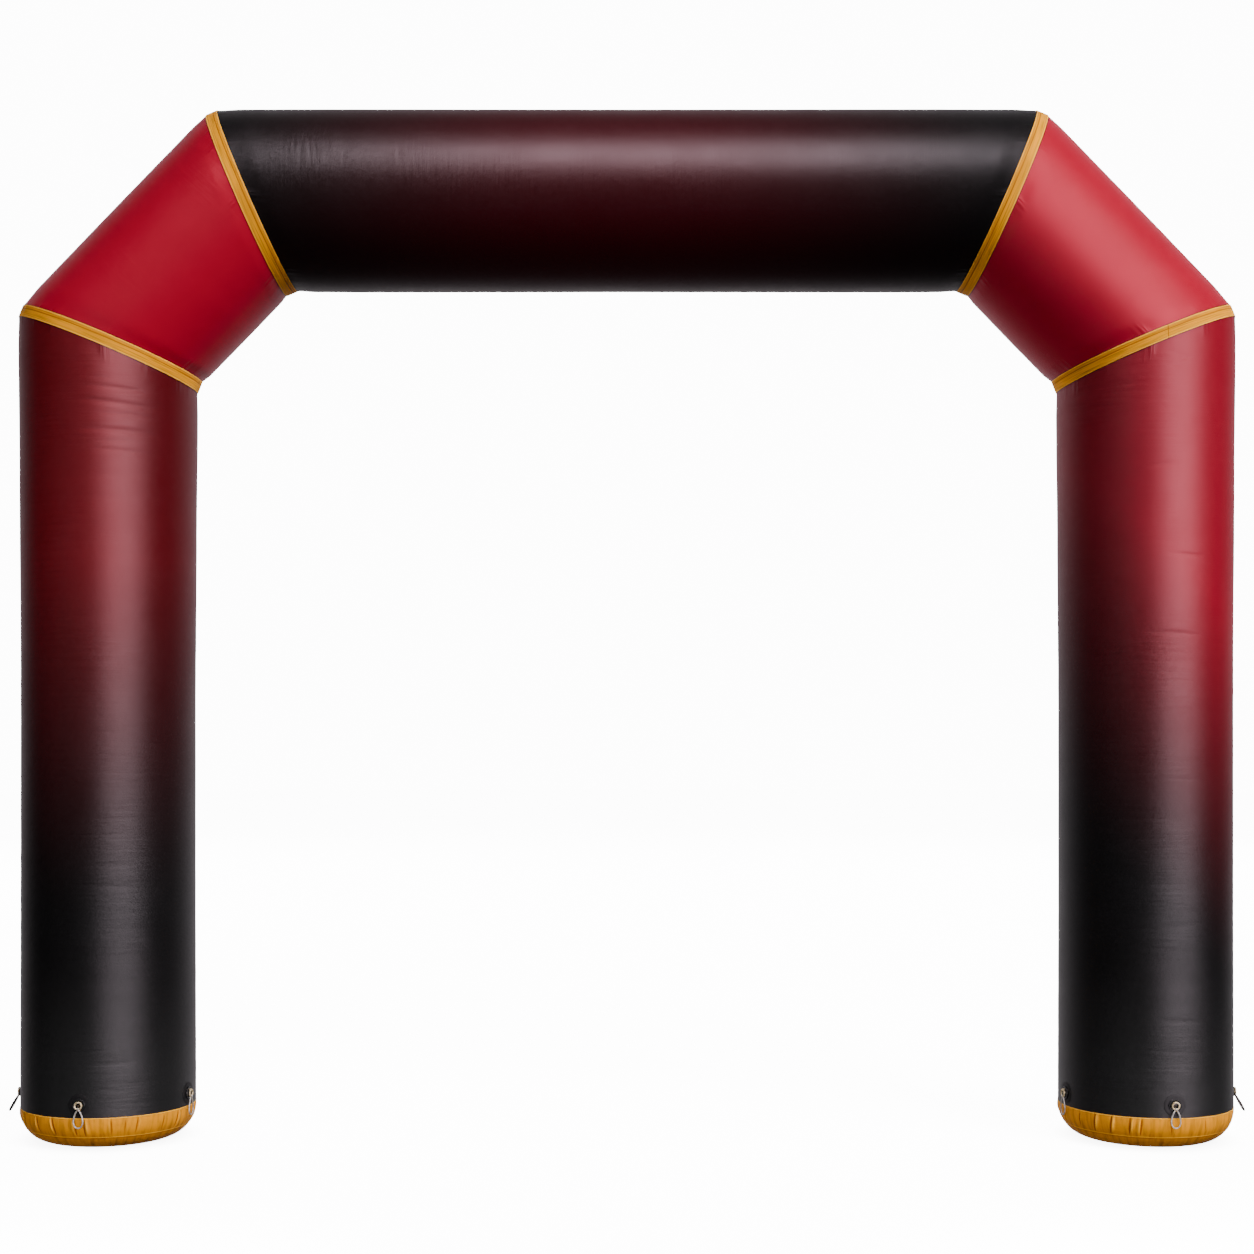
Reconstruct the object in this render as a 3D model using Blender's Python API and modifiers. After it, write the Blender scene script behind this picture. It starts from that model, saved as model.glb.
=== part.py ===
"""Inflatable event arch: one air tube of five sleeves, with taped mitre seams, gathered feet and tie-downs.

Frame: metres, +Z up, ground at z = 0, origin midway between the two feet. The arch spans X and faces -Y.
Angles round a sleeve start at the arch's outer side; 90 degrees faces the front and 180 the gateway.
"""

import math
from collections import namedtuple

import bmesh
import bpy
from mathutils import Matrix, Vector

# The tube's axis
LEG_AXIS_X = 2.1457
KNEE_Z = 3.255
BEAM_AXIS_Z = 3.866
BEAM_END_X = 1.555

# Clearance between pieces that are sewn or fitted together
GAP = 0.0003

# Seam tape over each mitre
TAPE_WIDTH = 0.050
TAPE_THICKNESS = 0.002
TAPE_CLEARANCE = 0.00045

# Foot: a gathered wall below the leg, and a sole panel that curves in to a flat ring on the ground
FOOT_SEAM_Z = 0.137
SOLE_SEAM_Z = 0.054
FOOT_RADIUS = 0.352
SOLE_FLAT_RADIUS = 0.225
FOOT_CURVE = 2.15

# Tie-down fitting, four to a leg
ANCHOR_Z = 0.188
ANCHOR_ANGLES = {"outer": 5.0, "front": 86.0, "inner": 168.0, "back": 265.0}
PATCH_RADIUS = 0.044
PATCH_THICKNESS = 0.002
PLATE_RADIUS = 0.0265
PLATE_THICKNESS = 0.0035
PLATE_BEVEL = 0.0014
RIVET_RADIUS = 0.005
RIVET_HEIGHT = 0.0022
RIVET_BEVEL = 0.0012
RING_RADIUS = 0.0139
RING_WIRE_RADIUS = 0.0036
LUG_RADIUS = 0.0026
COLLAR_RADIUS = 0.0064
COLLAR_BORE_RADIUS = 0.0046
COLLAR_WIDTH = 0.0064
LINK_WIRE_RADIUS = 0.0030
LINK_TOP_DROP = 0.0175
LINK_FOOT_DROP = 0.0880
LINK_HALF_WIDTH = 0.0180
LINK_TAPER = 0.30
OUTER_LINK_LIFT = math.radians(30.5)

# How far the fitting's layers stand out of the leg's skin
PLATE_BACK = GAP + PATCH_THICKNESS + GAP
PLATE_FACE = PLATE_BACK + PLATE_THICKNESS
RING_STAND_OFF = PLATE_FACE + COLLAR_RADIUS + GAP

# How finely the round pieces are cut
SLEEVE_SIDES = 36
LEG_RINGS = 7
SHOULDER_RINGS = 3
BEAM_RINGS = 7
LEAST_RING_SPACING = 0.016
WALL_COLUMN_SPAN = 11.0
SOLE_SIDES = 44
PATCH_SIDES = 18
RIVET_SIDES = 10
RING_STEPS = 16
RING_WIRE_SIDES = 6
LUG_SIDES = 6
COLLAR_SIDES = 12
LINK_STEPS = 18
SMOOTH_ANGLE = math.radians(40)

FRONT = Vector((0.0, -1.0, 0.0))
UP = Vector((0.0, 0.0, 1.0))

# Radius of a sleeve at shares of its length, from its lower or left end
Girth = namedtuple("Girth", "share radius")
LEG_GIRTHS = (
    Girth(0.00, 0.3520),
    Girth(0.30, 0.3503),
    Girth(0.55, 0.3503),
    Girth(0.80, 0.3545),
    Girth(1.00, 0.3575),
)
SHOULDER_GIRTHS = (Girth(0.0, 0.3575), Girth(0.5, 0.3640), Girth(1.0, 0.3612))
BEAM_GIRTHS = (
    Girth(0.00, 0.3612),
    Girth(0.12, 0.3648),
    Girth(0.50, 0.3640),
    Girth(0.88, 0.3648),
    Girth(1.00, 0.3612),
)

# A soft trough across a sleeve: place is height on a leg and X on the beam, angle and half_span are degrees
Crease = namedtuple("Crease", "place angle half_span depth half_width")
LEFT_LEG_CREASES = (
    Crease(3.088, 117, 26, 0.0030, 0.012),
    Crease(3.043, 116, 30, 0.0035, 0.013),
    Crease(2.987, 118, 32, 0.0035, 0.013),
    Crease(2.946, 115, 28, 0.0025, 0.012),
    Crease(2.878, 119, 30, 0.0035, 0.014),
    Crease(2.799, 117, 24, 0.0020, 0.014),
)
RIGHT_LEG_CREASES = (
    Crease(3.140, 86, 14, 0.0025, 0.012),
    Crease(2.729, 92, 16, 0.0020, 0.013),
    Crease(2.371, 75, 20, 0.0035, 0.012),
    Crease(2.059, 83, 24, 0.0030, 0.013),
)
BEAM_CREASES = (
    Crease(-1.264, 74, 16, 0.0025, 0.014),
    Crease(-1.144, 75, 14, 0.0020, 0.014),
    Crease(-0.988, 74, 12, 0.0015, 0.014),
)

# How fast a crease dies away beyond its half width
CREASE_FALLOFF = 1.6

# A pucker down a foot's wall: angle round the leg, lean to its lower end, both in degrees
Pleat = namedtuple("Pleat", "angle lean height")
LEFT_FOOT_PLEATS = (
    Pleat(17, 1.0, 0.004),
    Pleat(35, -1.2, 0.005),
    Pleat(51, 1.5, 0.006),
    Pleat(65, 2.0, 0.007),
    Pleat(81, 1.5, 0.006),
    Pleat(90, 1.0, 0.006),
    Pleat(105, 0.5, 0.004),
    Pleat(117, -1.0, 0.003),
    Pleat(125, -1.5, 0.004),
    Pleat(142, -2.0, 0.003),
    Pleat(157, -2.0, 0.005),
    Pleat(183, 1.0, 0.004),
    Pleat(207, -1.0, 0.005),
    Pleat(228, 1.5, 0.004),
    Pleat(252, -1.5, 0.006),
    Pleat(279, 1.0, 0.005),
    Pleat(303, -1.0, 0.004),
    Pleat(331, 1.5, 0.005),
)
RIGHT_FOOT_PLEATS = (
    Pleat(12, -1.0, 0.004),
    Pleat(39, -1.5, 0.003),
    Pleat(63, -2.5, 0.003),
    Pleat(88, -2.5, 0.004),
    Pleat(108, 1.5, 0.006),
    Pleat(113, 1.0, 0.006),
    Pleat(125, 2.0, 0.008),
    Pleat(137, 2.0, 0.008),
    Pleat(150, 1.5, 0.004),
    Pleat(172, -1.0, 0.004),
    Pleat(196, 1.5, 0.005),
    Pleat(219, -1.0, 0.004),
    Pleat(238, 1.0, 0.006),
    Pleat(256, -1.5, 0.004),
    Pleat(283, 1.0, 0.005),
    Pleat(308, -1.5, 0.005),
    Pleat(336, 1.0, 0.004),
)
PLEAT_HALF_WIDTH = 1.5
PLEAT_FLANK_SHARE = -0.15
WALL_SWELL = 0.0015
FOOT_WALL_HEIGHTS = (FOOT_SEAM_Z - GAP / 2, 0.129, 0.112, 0.092, 0.073, SOLE_SEAM_Z + GAP / 2)
SOLE_HEIGHTS = (SOLE_SEAM_Z - GAP / 2, 0.036, 0.020, 0.008, 0.0015, 0.0)


def clear_scene():
    for obj in list(bpy.data.objects):
        bpy.data.objects.remove(obj)


def new_collection(name):
    collection = bpy.data.collections.new(name)
    bpy.context.scene.collection.children.link(collection)
    return collection


def make_material(name, colour, roughness, metallic=0.0):
    material = bpy.data.materials.new(name)
    material.use_nodes = True
    shader = material.node_tree.nodes["Principled BSDF"]
    shader.inputs["Base Color"].default_value = (*colour, 1.0)
    shader.inputs["Roughness"].default_value = roughness
    shader.inputs["Metallic"].default_value = metallic
    return material


def finish(obj, name, collection, material):
    """Names the active object, shades it smooth up to its real edges and files it in its collection."""
    obj.name = name
    obj.data.name = name
    for holder in list(obj.users_collection):
        holder.objects.unlink(obj)
    collection.objects.link(obj)
    obj.data.materials.clear()
    obj.data.materials.append(material)
    obj.data.shade_smooth()
    obj.data.set_sharp_from_angle(angle=SMOOTH_ANGLE)
    return obj


def face_outwards(bm):
    """Turns every face to one side, and then that side away from the tube's middle."""
    bmesh.ops.recalc_face_normals(bm, faces=bm.faces)
    middle = sum((vertex.co for vertex in bm.verts), Vector()) / len(bm.verts)
    outward = 0.0
    for face in bm.faces:
        outward += face.calc_area() * face.normal.dot(face.calc_center_median() - middle)
    if outward < 0.0:
        bmesh.ops.reverse_faces(bm, faces=bm.faces)


def ringed_tube(columns, rings, place, capped=True):
    """A cylinder cut into rings, whose every point then goes where place(column, ring) puts it."""
    bpy.ops.mesh.primitive_cylinder_add(
        vertices=columns, radius=1.0, depth=1.0, end_fill_type="NGON" if capped else "NOTHING"
    )
    obj = bpy.context.object
    bm = bmesh.new()
    bm.from_mesh(obj.data)
    uprights = [e for e in bm.edges if abs(e.verts[0].co.z - e.verts[1].co.z) > 0.5]
    if rings > 2:
        bmesh.ops.subdivide_edges(bm, edges=uprights, cuts=rings - 2, use_grid_fill=True)
    for vertex in bm.verts:
        turn = math.atan2(vertex.co.x, vertex.co.y) / math.tau
        column = round(turn * columns) % columns
        ring = round((vertex.co.z + 0.5) * (rings - 1))
        vertex.co = place(column, ring)
    face_outwards(bm)
    bm.to_mesh(obj.data)
    bm.free()
    return obj


def smooth_step(share):
    share = min(1.0, max(0.0, share))
    return share * share * (3.0 - 2.0 * share)


def girth_at(girths, share):
    """The radius at a share of the length, eased from one row of the table to the next."""
    for low, high in zip(girths, girths[1:]):
        if share <= high.share:
            eased = smooth_step((share - low.share) / (high.share - low.share))
            return low.radius + (high.radius - low.radius) * eased
    return girths[-1].radius


def crease_offset(creases, place, angle):
    """How far the creases draw the cloth in, zero or less, at a place and an angle in degrees."""
    offset = 0.0
    for crease in creases:
        across = (place - crease.place) / crease.half_width
        around = (angle - crease.angle) / crease.half_span
        if abs(around) < 1.0:
            fade = math.cos(around * math.pi / 2) ** 2
            offset -= crease.depth * fade * math.exp(-CREASE_FALLOFF * across * across)
    return offset


class Sleeve:
    """One straight length of the tube, cut square or mitred at each end."""

    def __init__(self, start, end, outward, girths, before=None, after=None):
        self.start = Vector(start)
        self.axis = (Vector(end) - self.start).normalized()
        self.length = (Vector(end) - self.start).length
        self.outward = Vector(outward)
        self.girths = girths
        self.start_seam = (self.axis + before).normalized() if before else None
        self.end_seam = (self.axis + after).normalized() if after else None

    def radial(self, angle):
        return self.outward * math.cos(angle) + FRONT * math.sin(angle)

    def reach(self, angle):
        """Where the straight cloth starts and ends along the axis, at an angle round it."""
        radial = self.radial(angle)
        near = GAP / 2
        far = self.length - GAP / 2
        if self.start_seam:
            lean = self.girths[0].radius * radial.dot(self.start_seam)
            near = (TAPE_WIDTH / 2 - lean) / self.axis.dot(self.start_seam)
        if self.end_seam:
            lean = self.girths[-1].radius * radial.dot(self.end_seam)
            far = self.length - (TAPE_WIDTH / 2 + lean) / self.axis.dot(self.end_seam)
        return near, far

    def point(self, angle, share, draw_in=0.0):
        near, far = self.reach(angle)
        along = self.axis * (near + (far - near) * share)
        return self.start + along + self.radial(angle) * (girth_at(self.girths, share) + draw_in)

    def share_of(self, place, angle):
        """The share of the length at which a height on a leg, or an X on the beam, lies."""
        near, far = self.reach(angle)
        return (place - self.start.dot(self.axis) - near) / (far - near)


def direction(start, end):
    return (Vector(end) - Vector(start)).normalized()


def sleeve_set():
    """The five sleeves, each from its lower or left end."""
    beam_ends = {side: (side * BEAM_END_X, 0.0, BEAM_AXIS_Z) for side in (-1, 1)}
    sleeves = {}
    for word, side in (("left", -1), ("right", 1)):
        foot = (side * LEG_AXIS_X, 0.0, FOOT_SEAM_Z)
        knee = (side * LEG_AXIS_X, 0.0, KNEE_Z)
        shoulder = direction(knee, beam_ends[side])
        inward = Vector((-side, 0.0, 0.0))
        outward = Vector((side * shoulder.z, 0.0, -side * shoulder.x))
        sleeves[word + "_leg"] = Sleeve(foot, knee, (side, 0.0, 0.0), LEG_GIRTHS, after=shoulder)
        sleeves[word + "_shoulder"] = Sleeve(
            knee, beam_ends[side], outward, SHOULDER_GIRTHS, before=UP, after=inward
        )
    sleeves["beam"] = Sleeve(
        beam_ends[-1],
        beam_ends[1],
        UP,
        BEAM_GIRTHS,
        before=direction((-LEG_AXIS_X, 0.0, KNEE_Z), beam_ends[-1]),
        after=direction(beam_ends[1], (LEG_AXIS_X, 0.0, KNEE_Z)),
    )
    return sleeves


def ring_shares(sleeve, creases, plain_rings):
    """Evenly spread rings, with three more at each crease and none crowded against another."""
    wanted = [0.0, 1.0]
    for crease in creases:
        for edge in (-2, 0, 2):
            place = crease.place + edge * crease.half_width
            wanted.append(sleeve.share_of(place, math.radians(crease.angle)))
    least = LEAST_RING_SPACING / sleeve.length
    kept = []
    for share in sorted(wanted):
        if not kept or share - kept[-1] > least:
            kept.append(share)
    spacing = 1.0 / (plain_rings + 1)
    filled = []
    for low, high in zip(kept, kept[1:]):
        steps = max(1, round((high - low) / spacing))
        filled += [low + (high - low) * step / steps for step in range(steps)]
    return filled + [1.0]


def build_sleeve(sleeve, name, creases, plain_rings, collection, material):
    rings = [(share, None) for share in ring_shares(sleeve, creases, plain_rings)]
    lip = TAPE_WIDTH / 2 - GAP / 2
    if sleeve.start_seam:
        rings.insert(0, (0.0, -lip * sleeve.start_seam))
    if sleeve.end_seam:
        rings.append((1.0, lip * sleeve.end_seam))

    def place(column, ring):
        share, under_tape = rings[ring]
        angle = math.tau * column / SLEEVE_SIDES
        bare = sleeve.point(angle, share)
        draw_in = crease_offset(creases, bare.dot(sleeve.axis), math.degrees(angle))
        point = sleeve.point(angle, share, 0.0 if under_tape else draw_in)
        return point + under_tape if under_tape else point

    return finish(ringed_tube(SLEEVE_SIDES, len(rings), place), name, collection, material)


def build_tape(sleeve, name, collection, material):
    """The tape round the seam at a sleeve's end: a strip over both sleeves' edges, given its thickness."""

    def place(column, ring):
        angle = math.tau * column / SLEEVE_SIDES
        edge = sleeve.point(angle, 1.0, TAPE_CLEARANCE)
        return edge + sleeve.end_seam * TAPE_WIDTH * ring

    obj = ringed_tube(SLEEVE_SIDES, 2, place, capped=False)
    solidify = obj.modifiers.new("thickness", "SOLIDIFY")
    solidify.thickness = TAPE_THICKNESS
    solidify.offset = 1.0
    solidify.use_even_offset = True
    return finish(obj, name, collection, material)


def foot_radius(height):
    """The foot's outline: upright at the leg's seam and curving in to the flat of the sole."""
    drop = min(1.0, (FOOT_SEAM_Z - height) / FOOT_SEAM_Z)
    curl = (1.0 - drop**FOOT_CURVE) ** (1.0 / FOOT_CURVE)
    return SOLE_FLAT_RADIUS + (FOOT_RADIUS - SOLE_FLAT_RADIUS) * curl


def leg_frame(side):
    return Vector((side * LEG_AXIS_X, 0.0, 0.0)), Vector((side, 0.0, 0.0))


def round_leg(side, angle, radius, height):
    centre, outward = leg_frame(side)
    return centre + (outward * math.cos(angle) + FRONT * math.sin(angle)) * radius + UP * height


def build_foot_wall(side, name, pleats, collection, material):
    """The gathered wall: each pleat is a ridge between two shallow troughs, tallest low on the wall."""
    columns = []
    for pleat, following in zip(pleats, pleats[1:] + pleats[:1]):
        columns += [(pleat, edge, pleat.angle + edge * PLEAT_HALF_WIDTH) for edge in (-1, 0, 1)]
        span = (following.angle - pleat.angle) % 360 - 2 * PLEAT_HALF_WIDTH
        cuts = max(0, round(span / WALL_COLUMN_SPAN) - 1)
        for cut in range(cuts):
            angle = pleat.angle + PLEAT_HALF_WIDTH + span * (cut + 1) / (cuts + 1)
            columns.append((None, 0, angle))

    def place(column, ring):
        pleat, edge, angle = columns[column]
        height = FOOT_WALL_HEIGHTS[ring]
        drop = (FOOT_SEAM_Z - height) / (FOOT_SEAM_Z - SOLE_SEAM_Z)
        swell = WALL_SWELL * math.sin(math.pi * drop)
        if pleat:
            rise = math.sin(math.pi * drop**0.8)
            swell = pleat.height * rise * (1.0 if edge == 0 else PLEAT_FLANK_SHARE)
            angle += pleat.lean * drop
        return round_leg(side, math.radians(angle), foot_radius(height) + swell, height)

    obj = ringed_tube(len(columns), len(FOOT_WALL_HEIGHTS), place)
    return finish(obj, name, collection, material)


def build_sole(side, name, collection, material):
    def place(column, ring):
        height = SOLE_HEIGHTS[ring]
        angle = math.tau * column / SOLE_SIDES
        return round_leg(side, angle, foot_radius(height), height)

    return finish(ringed_tube(SOLE_SIDES, len(SOLE_HEIGHTS), place), name, collection, material)


def leg_radius_at_anchor():
    share = (ANCHOR_Z - FOOT_SEAM_Z) / (KNEE_Z - FOOT_SEAM_Z)
    return girth_at(LEG_GIRTHS, share)


def anchor_frame(side, angle):
    """Matrix from a fitting's own frame to the arch's: X along the leg's skin, Y out of it, Z up."""
    degrees = math.radians(angle)
    centre, outward = leg_frame(side)
    away = outward * math.cos(degrees) + FRONT * math.sin(degrees)
    along = away.cross(UP)
    rows = Matrix((along, away, UP)).transposed().to_4x4()
    return Matrix.Translation(centre + away * leg_radius_at_anchor() + UP * ANCHOR_Z) @ rows


def build_patch(frame, name, collection, material):
    """A round cloth patch, bent to the leg's skin, with its thickness outwards."""
    skin = leg_radius_at_anchor()
    mesh = bpy.data.meshes.new(name)
    obj = bpy.data.objects.new(name, mesh)
    bm = bmesh.new()
    bmesh.ops.create_circle(bm, cap_ends=True, segments=PATCH_SIDES, radius=PATCH_RADIUS)
    bmesh.ops.inset_individual(bm, faces=bm.faces[:], thickness=PATCH_RADIUS / 2, use_even_offset=True)
    for vertex in bm.verts:
        bend = vertex.co.x / skin
        out = (skin + GAP) * math.cos(bend) - skin
        vertex.co = frame @ Vector(((skin + GAP) * math.sin(bend), out, vertex.co.y))
    bmesh.ops.recalc_face_normals(bm, faces=bm.faces)
    away = frame.col[1].to_3d()
    if sum(face.normal.dot(away) for face in bm.faces) < 0:
        bmesh.ops.reverse_faces(bm, faces=bm.faces)
    bm.to_mesh(mesh)
    bm.free()
    collection.objects.link(obj)
    solidify = obj.modifiers.new("thickness", "SOLIDIFY")
    solidify.thickness = PATCH_THICKNESS
    solidify.offset = 1.0
    return finish(obj, name, collection, material)


def turned_disc(frame, radius, thickness, back, sides, bevel):
    """A disc facing out of the leg, its front edge cut back."""
    facing = Matrix.Rotation(-math.pi / 2, 4, "X")
    bpy.ops.mesh.primitive_cylinder_add(vertices=sides, radius=radius, depth=thickness)
    obj = bpy.context.object
    bm = bmesh.new()
    bm.from_mesh(obj.data)
    rim = [e for e in bm.edges if all(v.co.z > 0 for v in e.verts)]
    bmesh.ops.bevel(bm, geom=rim, offset=bevel, segments=1, profile=0.5, affect="EDGES", material=-1)
    bmesh.ops.transform(
        bm,
        matrix=frame @ Matrix.Translation((0.0, back + thickness / 2, 0.0)) @ facing,
        verts=bm.verts,
    )
    bm.to_mesh(obj.data)
    bm.free()
    return obj


def fuse(obj, other, operation):
    """Joins other to obj, or cuts it out of obj, and removes it."""
    boolean = obj.modifiers.new("fuse", "BOOLEAN")
    boolean.operation = operation
    boolean.object = other
    bpy.context.view_layer.update()
    fused = bpy.data.meshes.new_from_object(obj.evaluated_get(bpy.context.evaluated_depsgraph_get()))
    obj.modifiers.clear()
    obj.data = fused
    bpy.data.objects.remove(other)
    return obj


def sideways_cylinder(radius, length):
    bpy.ops.mesh.primitive_cylinder_add(vertices=COLLAR_SIDES, radius=radius, depth=length)
    cylinder = bpy.context.object
    cylinder.matrix_world = Matrix.Rotation(math.pi / 2, 4, "Y")
    return cylinder


def build_ring(frame, name, collection, material):
    """The eye ring, facing out, held off the plate by a lug behind its top."""
    facing = Matrix.Rotation(math.pi / 2, 4, "X")
    bpy.ops.mesh.primitive_torus_add(
        major_segments=RING_STEPS,
        minor_segments=RING_WIRE_SIDES,
        major_radius=RING_RADIUS,
        minor_radius=RING_WIRE_RADIUS,
    )
    ring = bpy.context.object
    ring.matrix_world = frame @ Matrix.Translation((0.0, RING_STAND_OFF, 0.0)) @ facing
    lug_length = RING_STAND_OFF - PLATE_FACE - GAP
    bpy.ops.mesh.primitive_cylinder_add(vertices=LUG_SIDES, radius=LUG_RADIUS, depth=lug_length)
    lug = bpy.context.object
    middle = (0.0, PLATE_FACE + GAP + lug_length / 2, RING_RADIUS)
    lug.matrix_world = frame @ Matrix.Translation(middle) @ facing
    return finish(fuse(ring, lug, "UNION"), name, collection, material)


def link_outline():
    """The pear outline as (sideways, drop below the ring's centre): an oval drawn in towards its top."""
    middle = (LINK_TOP_DROP + LINK_FOOT_DROP) / 2
    half_height = (LINK_FOOT_DROP - LINK_TOP_DROP) / 2
    points = []
    for step in range(LINK_STEPS):
        turn = math.tau * step / LINK_STEPS
        drawn_in = 1.0 - LINK_TAPER * math.cos(turn)
        points.append((LINK_HALF_WIDTH * math.sin(turn) * drawn_in, middle - half_height * math.cos(turn)))
    return points


def build_link(frame, lift, name, collection, material):
    """The pear-shaped wire link, with the collar by which it hangs from the ring's lowest point."""
    curve = bpy.data.curves.new(name, "CURVE")
    curve.dimensions = "3D"
    curve.bevel_depth = LINK_WIRE_RADIUS
    curve.bevel_resolution = 1
    outline = link_outline()
    spline = curve.splines.new("POLY")
    spline.points.add(len(outline) - 1)
    spline.use_cyclic_u = True
    for point, (sideways, drop) in zip(spline.points, outline):
        point.co = (sideways, 0.0, RING_RADIUS - drop, 1.0)
    wire = bpy.data.objects.new(name, curve)
    collection.objects.link(wire)
    bpy.context.view_layer.update()
    wire_mesh = bpy.data.meshes.new_from_object(wire.evaluated_get(bpy.context.evaluated_depsgraph_get()))
    link = bpy.data.objects.new(name, wire_mesh)
    collection.objects.link(link)
    bpy.data.objects.remove(wire)

    fuse(link, sideways_cylinder(COLLAR_RADIUS, COLLAR_WIDTH), "UNION")
    fuse(link, sideways_cylinder(COLLAR_BORE_RADIUS, 2 * COLLAR_WIDTH), "DIFFERENCE")

    hung = Matrix.Translation((0.0, RING_STAND_OFF, -RING_RADIUS)) @ Matrix.Rotation(lift, 4, "X")
    link.matrix_world = frame @ hung
    return finish(link, name, collection, material)


def build_anchor(side, prefix, angle, lift, collection, materials):
    frame = anchor_frame(side, angle)
    build_patch(frame, prefix + "_patch", collection, materials["patch"])
    plate = turned_disc(frame, PLATE_RADIUS, PLATE_THICKNESS, PLATE_BACK, PATCH_SIDES, PLATE_BEVEL)
    finish(plate, prefix + "_plate", collection, materials["plate"])
    rivet = turned_disc(frame, RIVET_RADIUS, RIVET_HEIGHT, PLATE_FACE + GAP, RIVET_SIDES, RIVET_BEVEL)
    finish(rivet, prefix + "_rivet", collection, materials["brass"])
    build_ring(frame, prefix + "_ring", collection, materials["brass"])
    build_link(frame, lift, prefix + "_link", collection, materials["steel"])


def main():
    clear_scene()
    arch = new_collection("inflatable_arch")
    materials = {
        "leg": make_material("leg_print", (0.16, 0.006, 0.014), 0.42),
        "shoulder": make_material("shoulder_red", (0.37, 0.008, 0.022), 0.42),
        "beam": make_material("beam_print", (0.020, 0.006, 0.008), 0.42),
        "yellow": make_material("yellow_cloth", (0.80, 0.36, 0.02), 0.50),
        "tape": make_material("yellow_tape", (0.80, 0.38, 0.03), 0.50),
        "patch": make_material("black_patch", (0.012, 0.012, 0.013), 0.55),
        "plate": make_material("black_plate", (0.015, 0.015, 0.016), 0.40),
        "brass": make_material("brass", (0.80, 0.66, 0.42), 0.28, 1.0),
        "steel": make_material("steel", (0.62, 0.61, 0.60), 0.25, 1.0),
    }
    sleeves = sleeve_set()
    build_sleeve(sleeves["beam"], "beam", BEAM_CREASES, BEAM_RINGS, arch, materials["beam"])
    for word, creases in (("left", LEFT_LEG_CREASES), ("right", RIGHT_LEG_CREASES)):
        build_sleeve(sleeves[word + "_leg"], word + "_leg", creases, LEG_RINGS, arch, materials["leg"])
        build_sleeve(
            sleeves[word + "_shoulder"], word + "_shoulder", (), SHOULDER_RINGS, arch, materials["shoulder"]
        )
        build_tape(sleeves[word + "_leg"], word + "_knee_tape", arch, materials["tape"])
        build_tape(sleeves[word + "_shoulder"], word + "_beam_tape", arch, materials["tape"])

    for word, side, pleats in (("left", -1, LEFT_FOOT_PLEATS), ("right", 1, RIGHT_FOOT_PLEATS)):
        build_foot_wall(side, word + "_foot_wall", pleats, arch, materials["yellow"])
        build_sole(side, word + "_sole", arch, materials["yellow"])
        for place, angle in ANCHOR_ANGLES.items():
            lift = OUTER_LINK_LIFT if place == "outer" else 0.0
            build_anchor(side, f"{word}_{place}", angle, lift, arch, materials)


main()
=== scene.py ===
"""An inflatable event arch: cloth sleeves blown up into one fat tube, with taped seams and tie-downs."""

import math
import bmesh
import bpy
from mathutils import Matrix, Vector, noise


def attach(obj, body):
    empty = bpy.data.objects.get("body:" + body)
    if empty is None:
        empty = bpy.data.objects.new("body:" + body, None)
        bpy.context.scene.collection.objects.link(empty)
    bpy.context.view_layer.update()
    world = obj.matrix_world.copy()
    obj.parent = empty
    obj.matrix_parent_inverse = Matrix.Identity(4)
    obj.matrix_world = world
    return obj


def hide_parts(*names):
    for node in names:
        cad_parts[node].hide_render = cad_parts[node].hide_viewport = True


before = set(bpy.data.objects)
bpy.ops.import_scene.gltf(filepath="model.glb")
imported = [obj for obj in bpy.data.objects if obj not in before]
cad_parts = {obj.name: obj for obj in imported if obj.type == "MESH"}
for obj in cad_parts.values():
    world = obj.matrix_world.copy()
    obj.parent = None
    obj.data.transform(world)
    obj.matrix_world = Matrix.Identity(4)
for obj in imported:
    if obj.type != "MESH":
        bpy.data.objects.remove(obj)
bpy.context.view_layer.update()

# ----------------------------------------------------------------------
# The studio: a level camera at standing eye height before a white cove, a soft key light high on the
# right, a low fill, two lamps behind the arch and one before each foot. Two strip lights are mirrored in
# the cloth, one as a streak down each leg and one along the beam.
# ----------------------------------------------------------------------
CAMERA_PLACE = (0.0, -7.92, 1.62)
CAMERA_LENS = 54.86
SENSOR_WIDTH = 36.0
CAMERA_SHIFT_Y = 0.0933
BEAM_HEIGHT = 3.87
ARCH_MIDDLE = (0.0, 0.0, 2.2)
FOOT_HEIGHT = 0.10
WHITE = (1.0, 1.0, 1.0)
ROSE_WHITE = (1.0, 0.86, 0.94)

camera_data = bpy.data.cameras.new("camera")
camera_data.lens = CAMERA_LENS
camera_data.sensor_width = SENSOR_WIDTH
camera_data.shift_y = CAMERA_SHIFT_Y
camera = bpy.data.objects.new("camera", camera_data)
camera.location = CAMERA_PLACE
camera.rotation_euler = (math.radians(90), 0.0, 0.0)
bpy.context.scene.collection.objects.link(camera)
bpy.context.scene.camera = camera


class Value:
    """A shader socket that can be reckoned with like a number."""

    def __init__(self, nodes, socket):
        self.nodes = nodes
        self.socket = socket

    def __add__(self, other):
        return self.nodes.reckon("ADD", self, other)

    def __sub__(self, other):
        return self.nodes.reckon("SUBTRACT", self, other)

    def __mul__(self, other):
        return self.nodes.reckon("MULTIPLY", self, other)

    def __truediv__(self, other):
        return self.nodes.reckon("DIVIDE", self, other)

    def __pow__(self, other):
        return self.nodes.reckon("POWER", self, other)

    def __abs__(self):
        return self.nodes.reckon("ABSOLUTE", self)


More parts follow.
